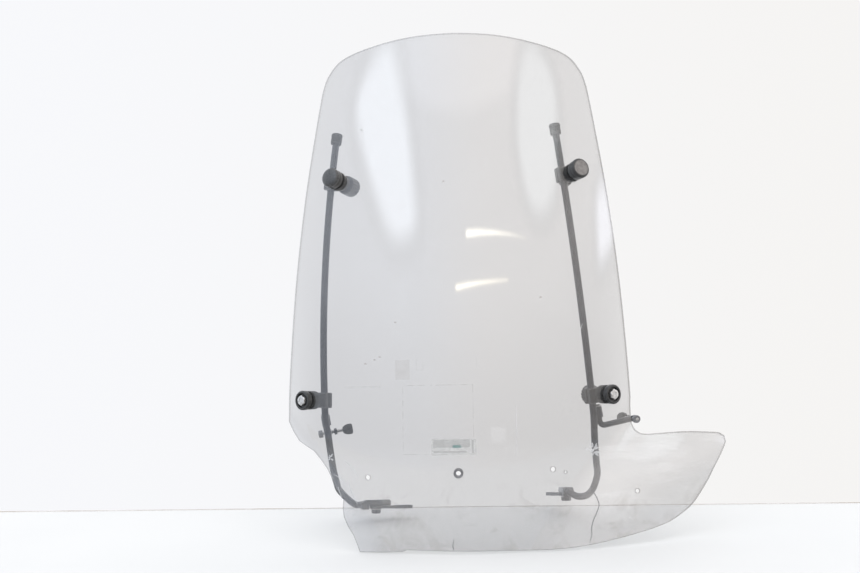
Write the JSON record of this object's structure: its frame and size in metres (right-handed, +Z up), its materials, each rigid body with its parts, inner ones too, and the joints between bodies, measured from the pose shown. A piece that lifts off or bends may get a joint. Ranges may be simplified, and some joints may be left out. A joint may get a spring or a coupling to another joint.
{
  "type": "scooter windshield screen",
  "caption": "Tall clear smoke-tinted scooter windshield, its left wing broken off, held on two black rods by clamps, with swinging stay arms and handlebar brackets.",
  "frame": {"origin": "centre of the grommeted fixing hole near the foot of the screen, on the screen's front face", "axes": "+Z up the screen, +X to the right seen from the front, where the wing is whole, +Y to the rear, towards the rider"},
  "size_m": [0.6244, 0.2566, 0.7168],
  "materials": {
    "acrylic": "clear, lightly smoked, gloss",
    "black_plastic": "satin",
    "black_steel": "satin",
    "zinc": "satin",
    "black_rubber": "matte",
    "grey_rubber": "matte",
    "label_film": "satin"
  },
  "bodies": {
    "screen": {"screen": "acrylic", "centre_grommet": "grey_rubber", "info_label": "label_film", "upper_left_bolt": "zinc", "upper_left_cup": "black_plastic", "upper_left_bush": "black_rubber", "upper_left_clamp_front": "black_plastic", "upper_left_clamp_rear": "black_plastic", "upper_right_bolt": "zinc", "upper_right_cup": "black_plastic", "upper_right_bush": "black_rubber", "upper_right_clamp_front": "black_plastic", "upper_right_clamp_rear": "black_plastic", "lower_left_bolt": "zinc", "lower_left_cup": "black_plastic", "lower_left_bush": "black_rubber", "lower_left_clamp_front": "black_plastic", "lower_left_clamp_rear": "black_plastic", "lower_right_bolt": "zinc", "lower_right_cup": "black_plastic", "lower_right_bush": "black_rubber", "lower_right_clamp_front": "black_plastic", "lower_right_clamp_rear": "black_plastic", "upper_left_snap_cap": "black_plastic", "upper_right_snap_cap": "black_plastic", "lower_left_nut": "zinc"},
    "left_rod": {"left_rod": "black_steel", "left_rod_end_cap": "black_rubber", "left_stay_sleeve": "black_steel", "left_bracket_body": "black_steel", "left_pivot_bolt": "black_steel", "left_pivot_washer": "zinc"},
    "left_stay": {"left_stay_arm": "black_steel", "left_stay_clip": "zinc", "left_stay_lock_nut": "black_steel"},
    "left_stay_screw": {"left_stay_screw": "zinc", "left_stay_pad": "grey_rubber", "left_stay_screw_head": "black_rubber"},
    "left_fixing_plate": {"left_fixing_plate": "black_steel"},
    "right_rod": {"right_rod": "black_steel", "right_rod_end_cap": "black_rubber", "right_stay_sleeve": "black_steel", "right_bracket_body": "black_steel", "right_pivot_bolt": "black_steel", "right_pivot_washer": "zinc"},
    "right_stay": {"right_stay_arm": "black_steel", "right_stay_clip": "zinc", "right_stay_lock_nut": "black_steel"},
    "right_stay_screw": {"right_stay_screw": "zinc", "right_stay_pad": "grey_rubber", "right_stay_screw_head": "black_rubber"},
    "right_fixing_plate": {"right_fixing_plate": "black_steel"},
    "upper_left_knob": {"upper_left_hand_knob": "black_plastic"},
    "upper_right_knob": {"upper_right_hand_knob": "black_plastic"},
    "lower_right_knob": {"lower_right_hand_knob": "black_plastic"}
  },
  "joints": [
    {"name": "left_rod_slide", "type": "hinge", "parent": "screen", "child": "left_rod", "pos_m": [0.62554, 1.36356, -0.01744], "axis": [0.8413, -0.5367, 0.0647], "range_deg": [-0.27, 1.74]},
    {"name": "left_stay_swing", "type": "hinge", "parent": "left_rod", "child": "left_stay", "pos_m": [-0.19095, 0.10722, 0.05495], "axis": [-0.16, 0.12, 0.9798], "range_deg": [-70, 60]},
    {"name": "left_stay_screw_turn", "type": "hinge", "parent": "left_stay", "child": "left_stay_screw", "pos_m": [-0.19123, 0.15476, 0.02867], "axis": [0.9847, 0.0886, 0.1499], "continuous": true},
    {"name": "left_fixing_plate_swing", "type": "hinge", "parent": "left_rod", "child": "left_fixing_plate", "pos_m": [-0.12887, 0.18215, -0.08842], "axis": [0, 0.2079, 0.9781], "range_deg": [-80, 88]},
    {"name": "right_rod_slide", "type": "hinge", "parent": "screen", "child": "right_rod", "pos_m": [-0.17081, 1.75473, -0.05335], "axis": [0.9737, 0.2164, 0.0719], "range_deg": [-0.02, 1.56]},
    {"name": "right_stay_swing", "type": "hinge", "parent": "right_rod", "child": "right_stay", "pos_m": [0.19711, 0.10421, 0.06244], "axis": [-0.16, 0.06, 0.9853], "range_deg": [-4, 120]},
    {"name": "right_stay_screw_turn", "type": "hinge", "parent": "right_stay", "child": "right_stay_screw", "pos_m": [0.24653, 0.12235, 0.04906], "axis": [-0.3698, 0.9218, -0.1162], "continuous": true},
    {"name": "right_fixing_plate_swing", "type": "hinge", "parent": "right_rod", "child": "right_fixing_plate", "pos_m": [0.15598, 0.19932, -0.07667], "axis": [0, 0.2079, 0.9781], "range_deg": [-100, 70]},
    {"name": "upper_left_knob_turn", "type": "hinge", "parent": "screen", "child": "upper_left_knob", "pos_m": [-0.17137, 0.13196, 0.39887], "axis": [-0.476, -0.8307, 0.2887], "continuous": true},
    {"name": "upper_right_knob_turn", "type": "hinge", "parent": "screen", "child": "upper_right_knob", "pos_m": [0.17181, 0.13402, 0.40405], "axis": [0.4772, -0.8292, 0.2912], "continuous": true},
    {"name": "lower_right_knob_turn", "type": "hinge", "parent": "screen", "child": "lower_right_knob", "pos_m": [0.21275, 0.08184, 0.09133], "axis": [0.5909, -0.7969, 0.1255], "continuous": true}
  ]
}
